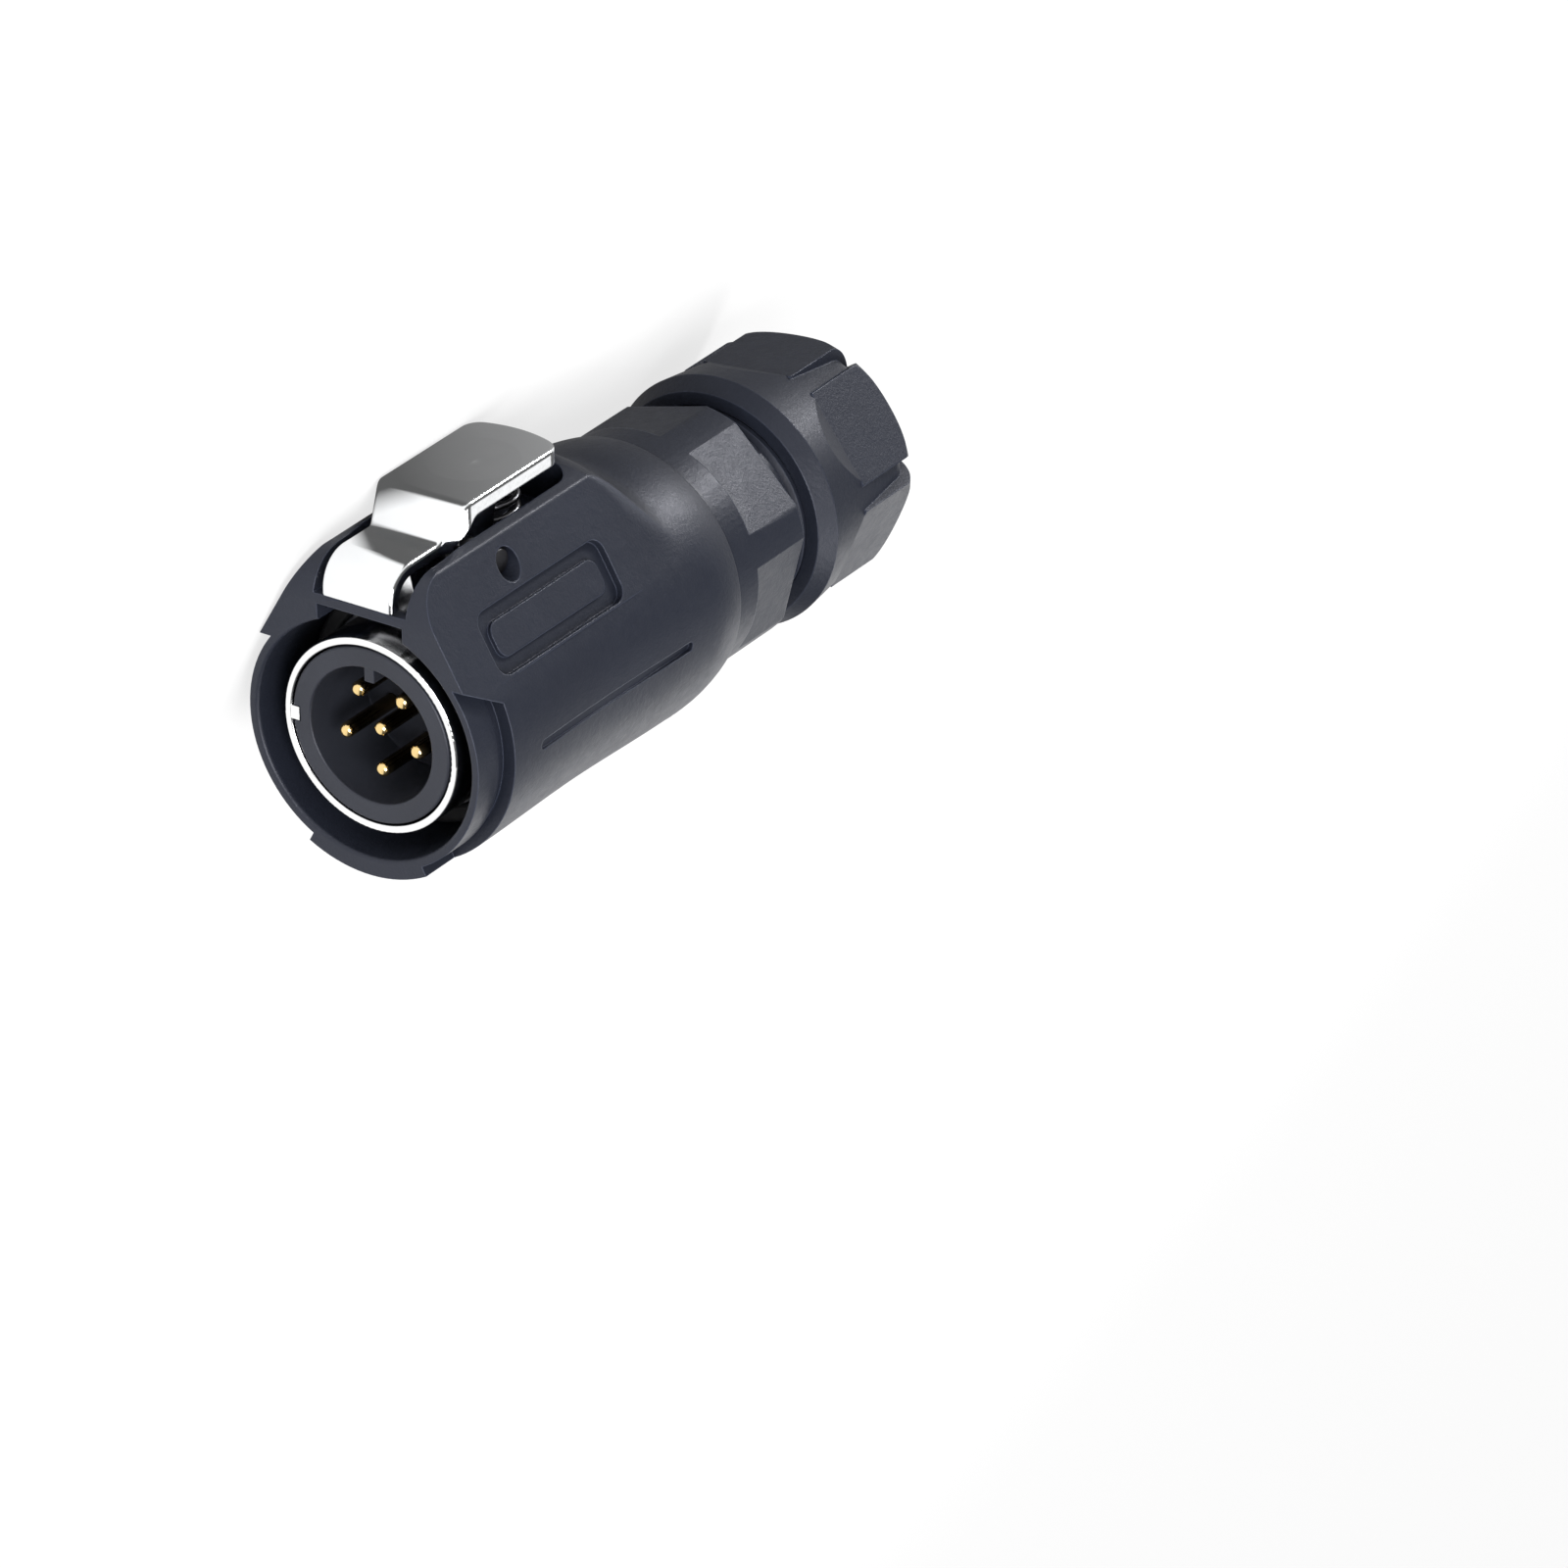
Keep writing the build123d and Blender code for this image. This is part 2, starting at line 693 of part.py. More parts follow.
def nut_section(rear_radius, rear_round):
    """Half section of the gland nut with a given radius and rounding at the rear."""
    with BuildSketch(Plane.XZ) as section:
        with BuildLine():
            Polyline(
                (nut_front, gland_thread_radius),
                (nut_front, nut_front_radius),
                (nut_front + nut_bevel_length, nut_radius),
                (nut_end - rear_round, rear_radius),
            )
            RadiusArc((nut_end - rear_round, rear_radius), (nut_end, rear_radius - rear_round), rear_round)
            Polyline(
                (nut_end, rear_radius - rear_round),
                (nut_end, nut_exit_radius),
                (nut_end - nut_wall, nut_exit_radius),
                (nut_end - nut_wall, claw_tip_radius + slip_gap),
                (cone_end, claw_tip_radius + slip_gap),
                (gland_thread_end, nut_cone_front),
                (gland_thread_end, gland_thread_radius),
                (nut_front, gland_thread_radius),
            )
        make_face()
    return section.sketch


# The nut's six flats stand proud at the rear, and each one ends in a ramp at the front
with BuildPart() as nut_pads:
    revolve(nut_section(nut_pad_rear_radius, nut_pad_round), axis=Axis.X)
    with BuildSketch(Plane.YZ.offset(nut_facet_station)):
        for index in range(nut_facets // 2):
            Rectangle(2 * nut_facet_half_width, 2 * nut_facet_distance,
                      rotation=nut_facet_first_angle + 360 * index / nut_facets)
    extrude(amount=nut_end - nut_facet_station, mode=Mode.INTERSECT)

ramp_rise = nut_radius - nut_facet_distance
with BuildPart() as nut_pocket:
    with BuildSketch(Plane.XZ):
        with BuildLine():
            Polyline(
                (nut_facet_station, nut_facet_distance),
                (nut_facet_station - ramp_rise / tan(radians(nut_ramp_angle)), nut_radius),
                (nut_end, nut_radius),
                (nut_end, nut_facet_distance),
                close=True,
            )
        make_face()
    extrude(amount=nut_facet_half_width, both=True)

with BuildPart() as gland_nut:
    revolve(nut_section(nut_rear_radius, nut_round), axis=Axis.X)
    for index in range(nut_facets):
        turn = Location((0, 0, 0), (nut_facet_first_angle + 360 * index / nut_facets, 0, 0))
        add(nut_pocket.part.moved(turn), mode=Mode.SUBTRACT)
    add(nut_pads.part)
    fillet(gland_nut.edges().group_by(Axis.X)[-1].sort_by(SortBy.RADIUS)[0], nut_exit_fillet)

# The plug is laid on its side, on the latch tab's edge and the round body
tab_corner_y = tab_half_width - tab_edge_fillet
tab_corner_z = tab_top - tab_edge_fillet
lie_angle = (
    degrees(atan2(tab_corner_y, tab_corner_z))
    + degrees(acos((body_radius - tab_edge_fillet) / hypot(tab_corner_y, tab_corner_z)))
)
lying = Location((0, 0, 0), (180 + lie_angle, 0, 0))

pieces = {
    "front_shell": front_shell.part,
    "push_latch": push_latch.part,
    "latch_pin": latch_pin.part,
    "latch_spring": latch_spring.part,
    "coupling_sleeve": coupling_sleeve.part,
    "pin_insert": pin_insert.part,
    "insert_ring": insert_ring.part,
    "contact_keeper": contact_keeper.part,
    "insert_retainer": insert_retainer.part,
    "mating_seal": mating_seal.part,
    "rear_body": rear_body.part,
    "shell_seal": shell_seal.part,
    "clamp_claw": clamp_claw.part,
    "cable_grommet": cable_grommet.part,
    "slip_washer": slip_washer.part,
    "gland_nut": gland_nut.part,
}
for number, place in enumerate(contact_places, start=1):
    pieces[f"contact_pin_{number}"] = build_contact(place)

os.makedirs("parts", exist_ok=True)
for name, piece in pieces.items():
    laid_piece = piece.moved(lying)
    laid_piece.label = name
    export_step(laid_piece, f"parts/{name}.step")
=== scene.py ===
"""Looks of the cable plug: camera, light, floor, materials, screw threads and the latch spring."""

import json
from math import cos, pi, radians, sin

import bmesh
import bpy
import numpy as np
from mathutils import Matrix, Vector


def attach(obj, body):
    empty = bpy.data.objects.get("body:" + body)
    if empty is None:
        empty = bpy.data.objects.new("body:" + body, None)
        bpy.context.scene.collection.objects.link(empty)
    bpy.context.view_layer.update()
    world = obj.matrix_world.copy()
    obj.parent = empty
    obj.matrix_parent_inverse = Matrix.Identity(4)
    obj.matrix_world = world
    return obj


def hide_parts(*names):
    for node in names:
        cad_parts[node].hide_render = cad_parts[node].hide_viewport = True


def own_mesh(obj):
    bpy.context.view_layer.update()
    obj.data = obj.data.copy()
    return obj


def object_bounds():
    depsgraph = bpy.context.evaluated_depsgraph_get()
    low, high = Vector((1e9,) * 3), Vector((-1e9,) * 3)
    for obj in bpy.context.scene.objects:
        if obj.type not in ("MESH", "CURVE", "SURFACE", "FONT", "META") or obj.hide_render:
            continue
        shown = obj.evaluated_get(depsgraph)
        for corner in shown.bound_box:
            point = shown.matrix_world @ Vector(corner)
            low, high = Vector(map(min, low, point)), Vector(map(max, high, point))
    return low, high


MM = 0.001

# How the plug lies: turned about its own axis from the pose in which the latch is up
LYING_TURN = radians(243.34691)

# Camera, in the pose in which the latch is up
VIEW_AZIMUTH = radians(-52.86)
VIEW_ELEVATION = radians(27.69)
VIEW_ROLL = radians(2.05)
VIEW_DISTANCE = 1000.0
IMAGE_SIZE = 1600
ORIGIN_PIXEL = (378.0, 751.0)
PIXELS_PER_MM = 10.921
SENSOR_WIDTH = 36.0

# Surround: the floor's share of its own light, the painted shade around the plug that only polished metal
# mirrors in the floor, the dark ceiling, and the light from all round
FLOOR_HALF = 3.0
FLOOR_TONE = 0.92
FLOOR_GLOW = 0.75
SHADE_TONES = (0.12, 0.33)
SHADE_SPAN = (12.0, 36.0)
SHADE_CENTRE = (45.0, 15.0)
SHADE_RADII = (45.0, 95.0)
SHADE_FRONT = (5.5, 8.0)
CEILING_EDGE = (0.2, 0.45)
CEILING_TONE = 0.12
SOFT_LIGHT = 0.3

# Where the hood's flats run softly into the crown: where the rounding rises and falls, its side,
# and its radius
HOOD_RISE = (26.8, 30.0)
HOOD_FALL = (34.5, 36.5)
HOOD_SIDE = (9.5, 12.0)
HOOD_END_RADIUS = 2.8

# Screw threads: start, end and radius of each, and the cutter's shape
GLAND_THREAD = (54.2, 65.2, 10.65)
SHELL_THREAD = (31.0, 38.4, 12.15)
THREAD_PITCH = 1.5
THREAD_DEPTH = 0.6
THREAD_RISE = 0.05
THREAD_OVERREACH = 0.25
THREAD_ROOT_HALF = 0.08
THREAD_TOP_SHARE = 0.46
THREAD_STEPS = 72
RUNOUT_TURNS = 0.4

# Lamps: direction from the plug, distance, width, height and power
LAMP_AIM = (0.035, 0.0, 0.0)
SOFTBOXES = {
    "crown_light": ((0.73, 0.68, 0.03), 0.5, 0.18, 0.07, 1.45),
    "low_light": ((0.72, -0.57, 0.38), 0.5, 0.24, 0.14, 0.20),
    "edge_card": ((0.72, -0.17, 0.67), 0.5, 0.10, 0.10, 0.03),
    "front_light": ((-0.70, 0.40, 0.60), 0.7, 0.40, 0.40, 6.0),
}
SUN_DIRECTION = (0.1, -0.1, 1.0)
SUN_STRENGTH = 1.8
SUN_SPREAD = 40.0

# Copies of CAD nodes: how close corners are joined, and the angles up to which faces run smoothly together
WELD_DISTANCE = 0.002
THREAD_ANGLE = 12
COIL_ANGLE = 40

# Plastics: how much lighter and smoother rubbed edges are (the lighter tone partly wear, partly painted
# highlight), the grain's depth, and how far the painted shade in recesses reaches
WEAR_AND_HIGHLIGHT_LIGHTER = 4.0
WORN_SMOOTHER = 0.12
GRAIN_DEPTH = 0.055
RECESS_SHADE_REACH = 1.2
PLASTIC_TINT = (0.90, 0.91, 1.0)


def laid(point):
    """A point or direction of the pose with the latch up, as it is in the lying plug's frame."""
    x, y, z = point
    turned_y = y * cos(LYING_TURN) - z * sin(LYING_TURN)
    turned_z = y * sin(LYING_TURN) + z * cos(LYING_TURN)
    return Vector((x, turned_y, turned_z))


def normalized(vector):
    return vector / np.linalg.norm(vector)


def view_axes():
    """Right, down and forward of the view, with the latch up, and the origin's place before the camera."""
    level = cos(VIEW_ELEVATION)
    back = np.array([sin(VIEW_AZIMUTH) * level, -cos(VIEW_AZIMUTH) * level, sin(VIEW_ELEVATION)])
    right = normalized(np.cross(-back, [0, 0, 1]))
    down = np.cross(-back, right)
    turned_right = cos(VIEW_ROLL) * right + sin(VIEW_ROLL) * down
    turned_down = cos(VIEW_ROLL) * down - sin(VIEW_ROLL) * right
    rotation = np.array([turned_right, turned_down, -back])

    focal = PIXELS_PER_MM * VIEW_DISTANCE
    offset = [(pixel - IMAGE_SIZE / 2) / focal for pixel in ORIGIN_PIXEL]
    origin = np.array([*offset, 1.0]) * VIEW_DISTANCE
    z_axis = normalized(origin)
    x_axis = normalized(np.array([1.0, 0, 0]) - z_axis * z_axis[0])
    look = np.array([x_axis, np.cross(z_axis, x_axis), z_axis]).T
    return look @ rotation, origin


def add_camera():
    rotation, origin = view_axes()
    data = bpy.data.cameras.new("camera")
    data.sensor_width = SENSOR_WIDTH
    data.lens = PIXELS_PER_MM * VIEW_DISTANCE / IMAGE_SIZE * SENSOR_WIDTH
    data.clip_start = 0.01
    camera = bpy.data.objects.new("camera", data)
    bpy.context.scene.collection.objects.link(camera)
    right, down, forward = (laid(row) for row in rotation)
    place = laid(-rotation.T @ origin) * MM
    axes = Matrix((right, -down, -forward)).transposed()
    camera.matrix_world = Matrix.Translation(place) @ axes.to_4x4()
    bpy.context.scene.camera = camera


def add_softbox(name, direction, distance, width, height, power):
    """A rectangular soft lamp that stands off in a direction and looks at the plug."""
    data = bpy.data.lights.new(name, "AREA")
    data.shape = "RECTANGLE"
    data.size = width
    data.size_y = height
    data.energy = power
    lamp = bpy.data.objects.new(name, data)
    bpy.context.scene.collection.objects.link(lamp)
    direction = Vector(direction).normalized()
    turn = direction.to_track_quat("Z", "Y").to_matrix().to_4x4()
    lamp.matrix_world = Matrix.Translation(Vector(LAMP_AIM) + direction * distance) @ turn


def add_sun(direction, strength, spread):
    """An even overhead light, which also gives the plug its soft shadow on the floor."""
    data = bpy.data.lights.new("overhead", "SUN")
    data.energy = strength
    data.angle = radians(spread)
    lamp = bpy.data.objects.new("overhead", data)
    bpy.context.scene.collection.objects.link(lamp)
    lamp.matrix_world = Vector(direction).to_track_quat("Z", "Y").to_matrix().to_4x4()


class Nodes:
    """A material's node tree, with short calls for the nodes used here."""

    def __init__(self, name):
        self.material = bpy.data.materials.new(name)
        self.material.use_nodes = True
        self.tree = self.material.node_tree
        self.shader = self.tree.nodes["Principled BSDF"]
        self.place = self.add("ShaderNodeTexCoord").outputs["Object"]

    def add(self, kind, **values):
        node = self.tree.nodes.new(kind)
        for key, value in values.items():
            setattr(node, key, value)
        return node

    def link(self, source, target):
        self.tree.links.new(source, target)

    def put(self, socket, value):
        if hasattr(value, "links"):
            self.link(value, socket)
        else:
            socket.default_value = value

    def noise(self, scale, detail=3.0, roughness=0.55):
        """Noise with a number of waves per metre."""
        node = self.add("ShaderNodeTexNoise")
        for key, number in (("Scale", scale), ("Detail", detail), ("Roughness", roughness)):
            node.inputs[key].default_value = number
        self.link(self.place, node.inputs["Vector"])
        return node.outputs["Fac"]

    def spread(self, value, low, high, start=0.35, end=0.65):
        """From low to high while the value goes from start to end, which if not given are a noise's."""
        node = self.add("ShaderNodeMapRange")
        self.put(node.inputs["Value"], value)
        for key, number in (("From Min", start), ("From Max", end), ("To Min", low), ("To Max", high)):
            node.inputs[key].default_value = number
        return node.outputs["Result"]

    def along(self, axis, low, high, span):
        """From low to high over a span of millimetres along one axis of the piece."""
        split = self.add("ShaderNodeSeparateXYZ")
        self.link(self.place, split.inputs[0])
        return self.spread(split.outputs[axis], low, high, start=span[0] * MM, end=span[1] * MM)

    def mix(self, factor, first, second):
        node = self.add("ShaderNodeMix", data_type="RGBA")
        self.put(node.inputs["Factor"], factor)
        self.put(node.inputs["A"], first)
        self.put(node.inputs["B"], second)
        return next(out for out in node.outputs if out.type == "RGBA")

    def maths(self, operation, first, second=0.0):
        node = self.add("ShaderNodeMath", operation=operation)
        self.put(node.inputs[0], first)
        self.put(node.inputs[1], second)
        return node.outputs[0]

    def bump(self, height, strength, depth, normal):
        """A relief of a depth in millimetres on a normal."""
        node = self.add("ShaderNodeBump")
        node.inputs["Strength"].default_value = strength
        node.inputs["Distance"].default_value = depth * MM
        self.link(height, node.inputs["Height"])
        self.link(normal, node.inputs["Normal"])
        return node.outputs["Normal"]

    def bevel(self, radius):
        node = self.add("ShaderNodeBevel", samples=6)
        self.put(node.inputs["Radius"], radius)
        return node.outputs["Normal"]

    def openness(self, distance):
        """How far a place lies open within millimetres: 1 on faces, less in grooves and corners."""
        node = self.add("ShaderNodeAmbientOcclusion", samples=4, only_local=True)
        node.inputs["Distance"].default_value = distance * MM
        return node.outputs["AO"]

    def edges(self, bevel_normal, gain):
        """How much the rounded normal leaves the true one: near 1 on sharp edges, 0 on faces."""
        dot = self.add("ShaderNodeVectorMath", operation="DOT_PRODUCT")
        self.link(bevel_normal, dot.inputs[0])
        self.link(self.add("ShaderNodeNewGeometry").outputs["Normal"], dot.inputs[1])
        turned = self.maths("SUBTRACT", 1.0, dot.outputs["Value"])
        return self.spread(turned, 0.0, gain, start=0.01, end=0.12)


def colour(red, green, blue):
    return (red, green, blue, 1.0)


def moulded_plastic(name, dark, light, roughness, grain=0.5, round_edges=0.2, edge_wear_and_highlight=0.55):
    """Spark-eroded moulded plastic: fine grain, lighter edges that are partly rubbed wear and partly painted
    highlight, and painted shade in recesses, where the gloss is dimmed.
    """
    nodes = Nodes(name)
    shader = nodes.shader
    rise = nodes.along("X", 0.0, HOOD_END_RADIUS * MM, HOOD_RISE)
    fall = nodes.along("X", 1.0, 0.0, HOOD_FALL)
    side = nodes.along("Y", 0.0, 1.0, HOOD_SIDE)
    soft = nodes.maths("MULTIPLY", nodes.maths("MULTIPLY", rise, fall), side)
    rounded = nodes.bevel(nodes.maths("ADD", soft, round_edges * MM))
    wear_and_highlight = nodes.edges(rounded, edge_wear_and_highlight)

    clouds = nodes.spread(nodes.noise(scale=90, detail=4), 0.0, 1.0)
    base = nodes.mix(clouds, dark, light)
    # Lighter edges: partly rubbed wear, partly a painted highlight along every sharp edge
    edge_wear_and_highlight_tone = colour(*(WEAR_AND_HIGHLIGHT_LIGHTER * part for part in light[:3]))
    nodes.link(nodes.mix(wear_and_highlight, base, edge_wear_and_highlight_tone), shader.inputs["Base Color"])

    rough = nodes.spread(nodes.noise(scale=900, detail=4), roughness - 0.025, roughness + 0.025)
    polish = nodes.maths("MULTIPLY", wear_and_highlight, WORN_SMOOTHER)
    nodes.link(nodes.maths("SUBTRACT", rough, polish), shader.inputs["Roughness"])

    pits = nodes.noise(scale=3400, roughness=0.7)
    swells = nodes.maths("MULTIPLY", nodes.noise(scale=1500, detail=2), 0.8)
    height = nodes.maths("ADD", pits, swells)
    nodes.link(nodes.bump(height, grain, GRAIN_DEPTH, rounded), shader.inputs["Normal"])

    # Painted shade: the gloss is dimmed in grooves and corners that lie closed in
    gloss_with_recess_shade = nodes.spread(nodes.openness(RECESS_SHADE_REACH), 0.1, 0.36, start=0.3, end=0.95)
    nodes.link(gloss_with_recess_shade, shader.inputs["Specular IOR Level"])
    shader.inputs["Specular Tint"].default_value = colour(*PLASTIC_TINT)
    return nodes.material


def plated_metal(name, tone, roughness, ripple=0.12, haze=0.05, round_edges=0.08):
    """Polished plating: mirror bright, with a faint ripple, hazy patches and soft edges."""
    nodes = Nodes(name)
    shader = nodes.shader
    shader.inputs["Metallic"].default_value = 1.0
    patches = nodes.spread(nodes.noise(scale=160), 0.0, 1.0)
    dull = colour(*(0.96 * part for part in tone))
    nodes.link(nodes.mix(patches, dull, colour(*tone)), shader.inputs["Base Color"])
    rough = nodes.spread(nodes.noise(scale=2400), roughness - haze / 2, roughness + haze)
    nodes.link(rough, shader.inputs["Roughness"])
    rounded = nodes.bevel(round_edges * MM)
    waves = nodes.noise(scale=260, detail=2)
    nodes.link(nodes.bump(waves, ripple, 0.02, rounded), shader.inputs["Normal"])
    return nodes.material


def plating_with_painted_shade(name, tone, shade, span):
    """Plating that is bright at the front of a piece and darkens over a span behind it: painted shade, where
    the piece lies back in the dark.
    """
    nodes = Nodes(name)
    shader = nodes.shader
    shader.inputs["Metallic"].default_value = 1.0
    # Painted shade: the colour darkens over the span behind the front
    shade_behind_front = nodes.along("X", 0.0, 1.0, span)
    nodes.link(nodes.mix(shade_behind_front, colour(*tone), colour(*shade)), shader.inputs["Base Color"])
    rough = nodes.spread(nodes.noise(scale=2400), 0.12, 0.2)
    nodes.link(rough, shader.inputs["Roughness"])
    waves = nodes.noise(scale=900, detail=2)
    rounded = nodes.bevel(0.03 * MM)
    nodes.link(nodes.bump(waves, 0.1, 0.01, rounded), shader.inputs["Normal"])
    return nodes.material


def soft_rubber(name, dark, light, roughness):
    """Moulded rubber: dull, finely mottled, with a faint bloom."""
    nodes = Nodes(name)
    shader = nodes.shader
    mottle = nodes.spread(nodes.noise(scale=240, detail=5), 0.0, 1.0)
    nodes.link(nodes.mix(mottle, dark, light), shader.inputs["Base Color"])
    rough = nodes.spread(nodes.noise(scale=900), roughness - 0.08, roughness + 0.08)
    nodes.link(rough, shader.inputs["Roughness"])
    rounded = nodes.bevel(0.15 * MM)
    nodes.link(nodes.bump(nodes.noise(scale=3000), 0.4, 0.02, rounded), shader.inputs["Normal"])
    shader.inputs["Specular IOR Level"].default_value = 0.4
    return nodes.material


def dress(node, material):
    """Give a CAD node its material."""
    node.data.materials.clear()
    node.data.materials.append(material)


def copy_of(node, name):
    """A welded copy of a CAD node's mesh, as a piece of its own."""
    mesh = node.data.copy()
    mesh.name = name
    piece = bpy.data.objects.new(name, mesh)
    bpy.context.scene.collection.objects.link(piece)
    work = bmesh.new()
    work.from_mesh(mesh)
    bmesh.ops.remove_doubles(work, verts=work.verts, dist=WELD_DISTANCE * MM)
    work.to_mesh(mesh)
    work.free()
    return piece


def thread_cutter(name, start, end, radius):
    """A V-shaped strip wound round the X axis, which cuts the thread's groove and runs out at both ends."""
    work = bmesh.new()
    count = int((end - start) / THREAD_PITCH * THREAD_STEPS)
    runout_steps = THREAD_STEPS * RUNOUT_TURNS
    full_height = THREAD_DEPTH - THREAD_RISE + THREAD_OVERREACH
    outer = radius + THREAD_OVERREACH
    rings = []
    for index in range(count + 1):
        angle = 2 * pi * index / THREAD_STEPS
        along = start + THREAD_PITCH * index / THREAD_STEPS
        runout = min(1.0, index / runout_steps, (count - index) / runout_steps)
        depth = THREAD_DEPTH * runout - THREAD_RISE
        root = radius - depth
        top_half = THREAD_PITCH * THREAD_TOP_SHARE * (depth + THREAD_OVERREACH) / full_height
        profile = ((-top_half, outer), (-THREAD_ROOT_HALF, root), (THREAD_ROOT_HALF, root), (top_half, outer))
        ring = []
        for offset, height in profile:
            place = (along + offset, height * cos(angle), height * sin(angle))
            ring.append(work.verts.new([part * MM for part in place]))
        rings.append(ring)
    for first, second in zip(rings, rings[1:]):
        for corner in range(4):
            after = (corner + 1) % 4
            work.faces.new((first[corner], first[after], second[after], second[corner]))
    work.faces.new(rings[0][::-1])
    work.faces.new(rings[-1])
    bmesh.ops.recalc_face_normals(work, faces=work.faces)
    mesh = bpy.data.meshes.new(name)
    work.to_mesh(mesh)
    work.free()
    cutter = bpy.data.objects.new(name, mesh)
    bpy.context.scene.collection.objects.link(cutter)
    return cutter


def cut_threads(piece, threads):
    """Cut each thread into a piece, and leave only the result."""
    cutters = []
    for number, (start, end, radius) in enumerate(threads):
        cutter = thread_cutter(f"thread_cutter_{number}", start, end, radius)
        modifier = piece.modifiers.new(cutter.name, "BOOLEAN")
        modifier.operation = "DIFFERENCE"
        modifier.solver = "EXACT"
        modifier.object = cutter
        cutters.append(cutter)
    bpy.context.view_layer.update()
    graph = bpy.context.evaluated_depsgraph_get()
    mesh = bpy.data.meshes.new_from_object(piece.evaluated_get(graph))
    piece.modifiers.clear()
    piece.data = mesh
    for cutter in cutters:
        bpy.data.objects.remove(cutter)


def smooth_by_angle(piece, angle):
    piece.data.shade_smooth()
    piece.data.set_sharp_from_angle(angle=radians(angle))


def even_flats(piece):
    """Let a piece's large faces set the shading of their corners."""
    modifier = piece.modifiers.new("even_flats", "WEIGHTED_NORMAL")
    modifier.keep_sharp = True
    modifier.weight = 100


def add_floor(height):
    """A wide white floor with the plug's shadow, and painted shade around the plug that only polished metal
    mirrors.
    """
    mesh = bpy.data.meshes.new("floor")
    corners = [(x * FLOOR_HALF, y * FLOOR_HALF, height) for x, y in ((-1, -1), (1, -1), (1, 1), (-1, 1))]
    mesh.from_pydata(corners, [], [(0, 1, 2, 3)])
    floor = bpy.data.objects.new("floor", mesh)
    bpy.context.scene.collection.objects.link(floor)
    nodes = Nodes("floor")
    nodes.shader.inputs["Base Color"].default_value = colour(FLOOR_TONE, FLOOR_TONE, FLOOR_TONE)
    nodes.shader.inputs["Roughness"].default_value = 0.9
    nodes.shader.inputs["Specular IOR Level"].default_value = 0.1

    # Painted shade, seen only in glossy rays: a darker patch of floor beside and behind the plug for polished
    # metal to mirror
    behind_neck = nodes.along("X", 0.0, 1.0, SHADE_FRONT)
    offset = nodes.add("ShaderNodeVectorMath", operation="SUBTRACT")
    nodes.link(nodes.place, offset.inputs[0])
    offset.inputs[1].default_value = (SHADE_CENTRE[0] * MM, SHADE_CENTRE[1] * MM, height)
    reach = nodes.add("ShaderNodeVectorMath", operation="LENGTH")
    nodes.link(offset.outputs["Vector"], reach.inputs[0])
    start, end = (radius * MM for radius in SHADE_RADII)
    near = nodes.spread(reach.outputs["Value"], 1.0, 0.0, start=start, end=end)
    path = nodes.add("ShaderNodeLightPath")
    patch = nodes.maths("MULTIPLY", behind_neck, near)
    shade = nodes.maths("MULTIPLY", patch, path.outputs["Is Glossy Ray"])

    tone = nodes.along("X", *SHADE_TONES, SHADE_SPAN)
    glow = nodes.add("ShaderNodeEmission")
    nodes.link(nodes.mix(shade, colour(1, 1, 1), tone), glow.inputs["Color"])
    through = nodes.maths("MAXIMUM", path.outputs["Is Glossy Ray"], path.outputs["Is Transmission Ray"])
    seen = nodes.maths("MAXIMUM", path.outputs["Is Camera Ray"], through)
    blend = nodes.add("ShaderNodeMixShader")
    share = nodes.spread(shade, FLOOR_GLOW, 1.0, start=0.0, end=1.0)
    nodes.link(nodes.maths("MULTIPLY", seen, share), blend.inputs["Fac"])
    nodes.link(nodes.shader.outputs["BSDF"], blend.inputs[1])
    nodes.link(glow.outputs["Emission"], blend.inputs[2])
    nodes.link(blend.outputs["Shader"], nodes.tree.nodes["Material Output"].inputs["Surface"])
    mesh.materials.append(nodes.material)


def set_world():
    """A white surround with a darker ceiling, and a soft light from all round."""
    world = bpy.data.worlds.new("world")
    bpy.context.scene.world = world
    world.use_nodes = True
    tree = world.node_tree
    path = tree.nodes.new("ShaderNodeLightPath")
    place = tree.nodes.new("ShaderNodeTexCoord")
    split = tree.nodes.new("ShaderNodeSeparateXYZ")
    tree.links.new(place.outputs["Generated"], split.inputs[0])
    ceiling = tree.nodes.new("ShaderNodeMapRange")
    ceiling.interpolation_type = "SMOOTHSTEP"
    tree.links.new(split.outputs["Z"], ceiling.inputs["Value"])
    for key, number in (("From Min", CEILING_EDGE[0]), ("From Max", CEILING_EDGE[1]),
                        ("To Min", 1.0), ("To Max", CEILING_TONE)):
        ceiling.inputs[key].default_value = number

    soft = tree.nodes["Background"]
    soft.inputs["Strength"].default_value = SOFT_LIGHT
    mirrored = tree.nodes.new("ShaderNodeBackground")
    tree.links.new(ceiling.outputs["Result"], mirrored.inputs["Strength"])
    white = tree.nodes.new("ShaderNodeBackground")
    for background in (soft, mirrored, white):
        background.inputs["Color"].default_value = colour(1, 1, 1)
    seen = tree.nodes.new("ShaderNodeMath")
    seen.operation = "MAXIMUM"
    tree.links.new(path.outputs["Is Camera Ray"], seen.inputs[0])
    tree.links.new(path.outputs["Is Transmission Ray"], seen.inputs[1])
    shader = soft.outputs[0]
    for factor, background in ((path.outputs["Is Glossy Ray"], mirrored), (seen.outputs[0], white)):
        blend = tree.nodes.new("ShaderNodeMixShader")
        tree.links.new(factor, blend.inputs["Fac"])
        tree.links.new(shader, blend.inputs[1])
        tree.links.new(background.outputs[0], blend.inputs[2])
        shader = blend.outputs[0]
    tree.links.new(shader, tree.nodes["World Output"].inputs["Surface"])


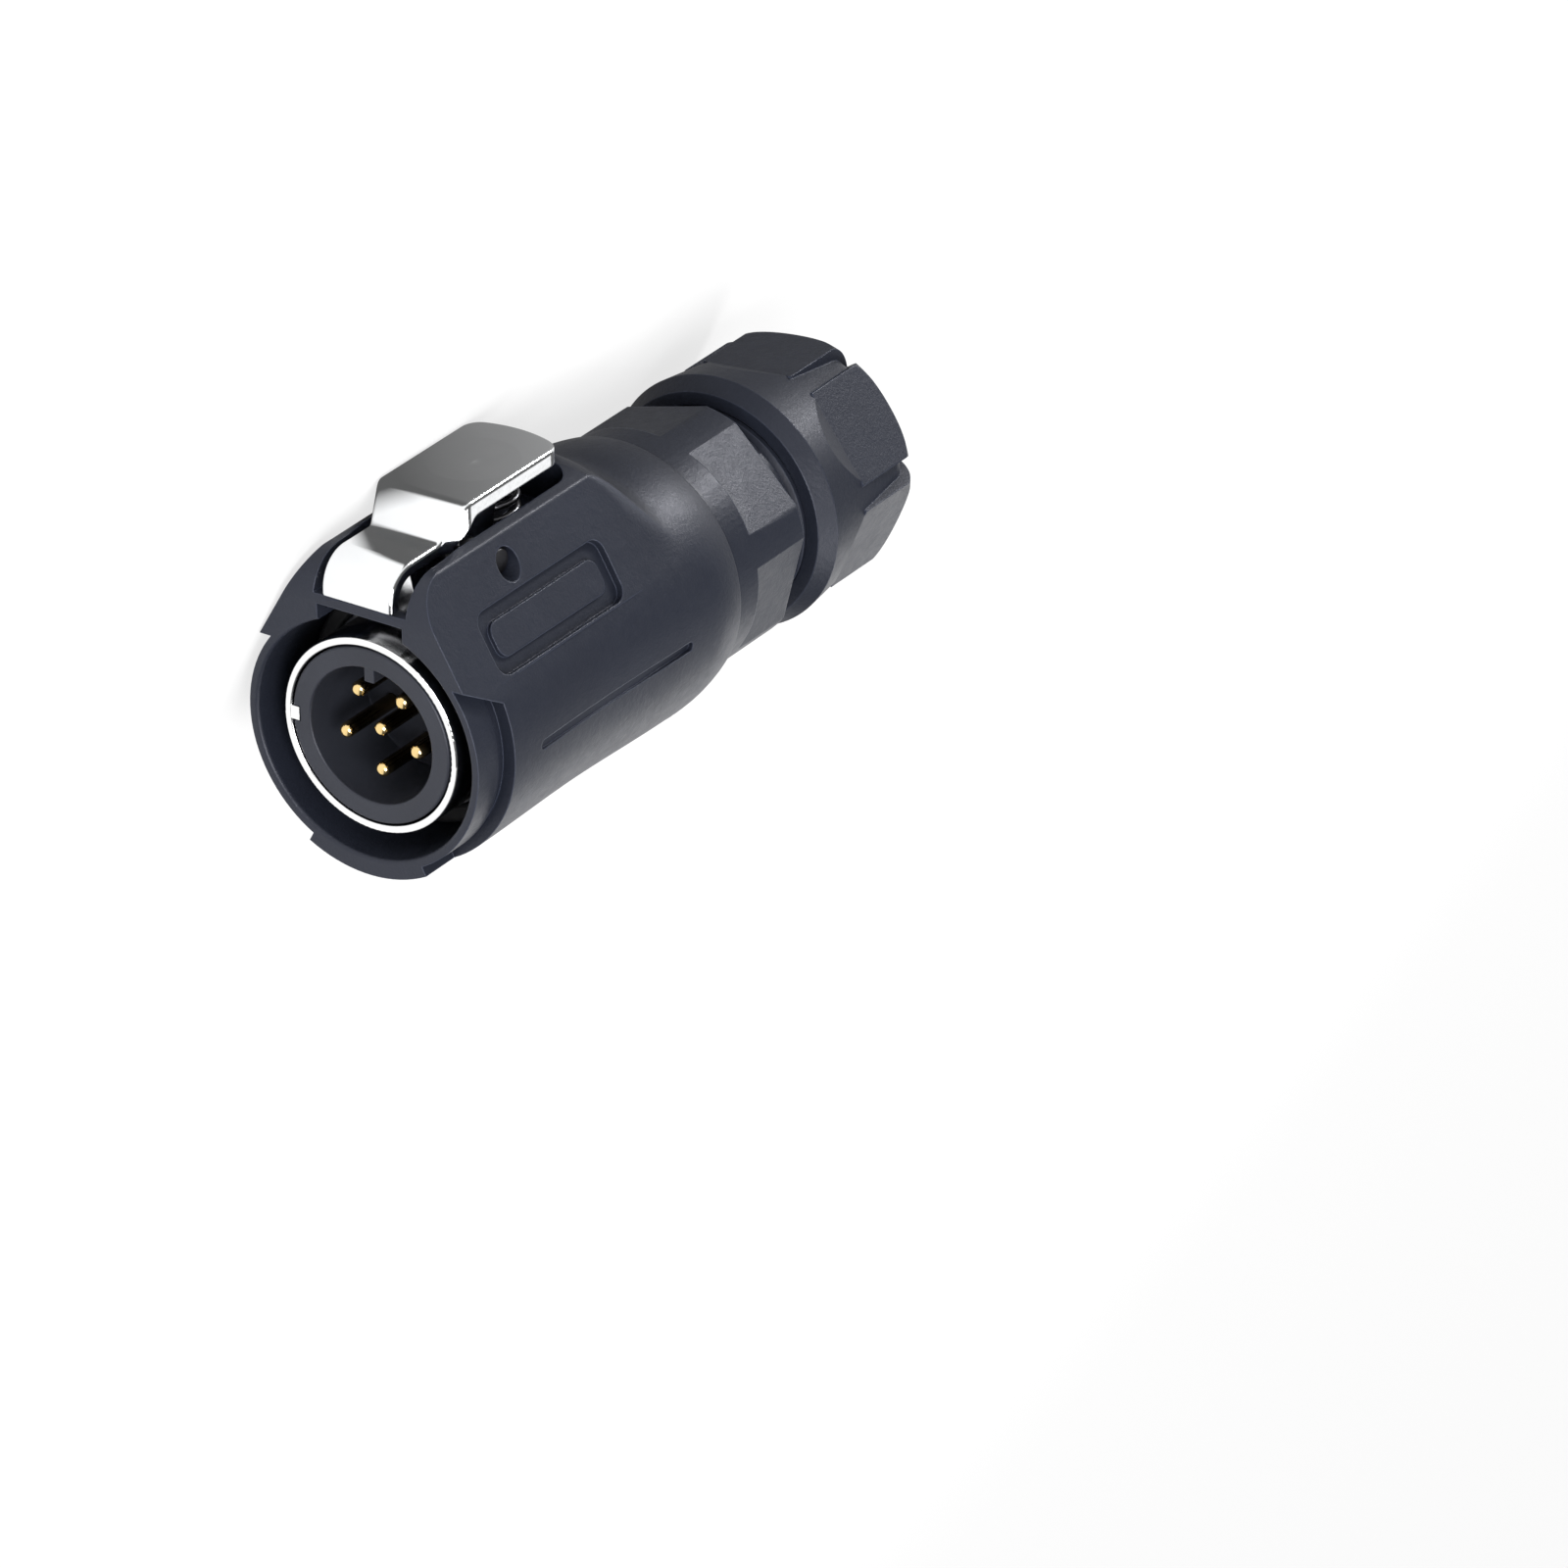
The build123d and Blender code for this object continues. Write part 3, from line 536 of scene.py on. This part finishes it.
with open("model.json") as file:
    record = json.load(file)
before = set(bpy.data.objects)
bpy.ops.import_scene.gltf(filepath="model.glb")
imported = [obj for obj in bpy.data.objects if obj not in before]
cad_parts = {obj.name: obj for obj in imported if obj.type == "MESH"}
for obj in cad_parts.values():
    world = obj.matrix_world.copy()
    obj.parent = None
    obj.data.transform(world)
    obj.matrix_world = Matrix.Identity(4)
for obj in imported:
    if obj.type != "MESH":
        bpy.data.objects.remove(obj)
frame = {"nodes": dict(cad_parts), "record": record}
cad_low, cad_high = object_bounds()
nodes = frame["nodes"]

shell_plastic = moulded_plastic(
    "shell_plastic", colour(0.0112, 0.0132, 0.0205), colour(0.0126, 0.0149, 0.0230), 0.42)
insert_plastic = moulded_plastic(
    "insert_plastic", colour(0.0175, 0.0190, 0.0250), colour(0.0215, 0.0235, 0.0310), 0.40,
    grain=0.25, edge_wear_and_highlight=0.2)
claw_plastic = moulded_plastic(
    "claw_plastic", colour(0.045, 0.045, 0.05), colour(0.06, 0.06, 0.066), 0.42, grain=0.2)
latch_chrome = plated_metal("latch_chrome", (0.92, 0.93, 0.94), 0.10, round_edges=0.2)
# The sleeve darkens behind its front edge: painted shade, where it lies back between the ring and the hood
sleeve_nickel = plating_with_painted_shade("sleeve_nickel", (0.92, 0.92, 0.915), (0.22, 0.22, 0.23), (0.3, 1.1))
pin_steel = plated_metal("pin_steel", (0.06, 0.06, 0.065), 0.40)
# Darker than bare spring steel: painted shade, for the spring in the dark under the tab
spring_steel = plated_metal("spring_steel", (0.18, 0.18, 0.19), 0.30, round_edges=0.02)
# The contacts darken behind their tips: painted shade down the shafts, deep in the mouth
contact_gold = plating_with_painted_shade("contact_gold", (0.90, 0.66, 0.30), (0.16, 0.11, 0.05), (1.9, 2.7))
washer_brass = plated_metal("washer_brass", (0.75, 0.58, 0.28), 0.25, round_edges=0.05)
seal_rubber = soft_rubber(
    "seal_rubber", colour(0.012, 0.012, 0.014), colour(0.022, 0.022, 0.024), 0.55)
grommet_rubber = soft_rubber(
    "grommet_rubber", colour(0.02, 0.02, 0.022), colour(0.034, 0.034, 0.036), 0.62)

slots = {
    "shell_plastic": shell_plastic,
    "insert_plastic": insert_plastic,
    "claw_plastic": claw_plastic,
    "latch_chrome": latch_chrome,
    "sleeve_nickel": sleeve_nickel,
    "pin_steel": pin_steel,
    "spring_steel": spring_steel,
    "contact_gold": contact_gold,
    "washer_brass": washer_brass,
    "seal_rubber": seal_rubber,
    "grommet_rubber": grommet_rubber,
}
for subpart in frame["record"]["subparts"]:
    dress(nodes[subpart["node"]], slots[subpart["material_slot"]])

# The rear body with its two screw threads
rear_body = copy_of(nodes["rear_body"], "rear_body_threaded")
cut_threads(rear_body, (GLAND_THREAD, SHELL_THREAD))
smooth_by_angle(rear_body, THREAD_ANGLE)
even_flats(rear_body)
dress(rear_body, shell_plastic)
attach(rear_body, "rear")
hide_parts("rear_body")

# The latch spring, which on the real plug shortens when the tab is pressed, as a copy of its own on the shell
spring = copy_of(nodes["latch_spring"], "latch_spring_coil")
smooth_by_angle(spring, COIL_ANGLE)
dress(spring, spring_steel)
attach(spring, "shell")
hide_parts("latch_spring")
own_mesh(spring)

add_camera()
for name, values in SOFTBOXES.items():
    add_softbox(name, *values)
add_sun(SUN_DIRECTION, SUN_STRENGTH, SUN_SPREAD)
set_world()
add_floor(cad_low[2])

scene = bpy.context.scene
scene.view_settings.view_transform = "Standard"
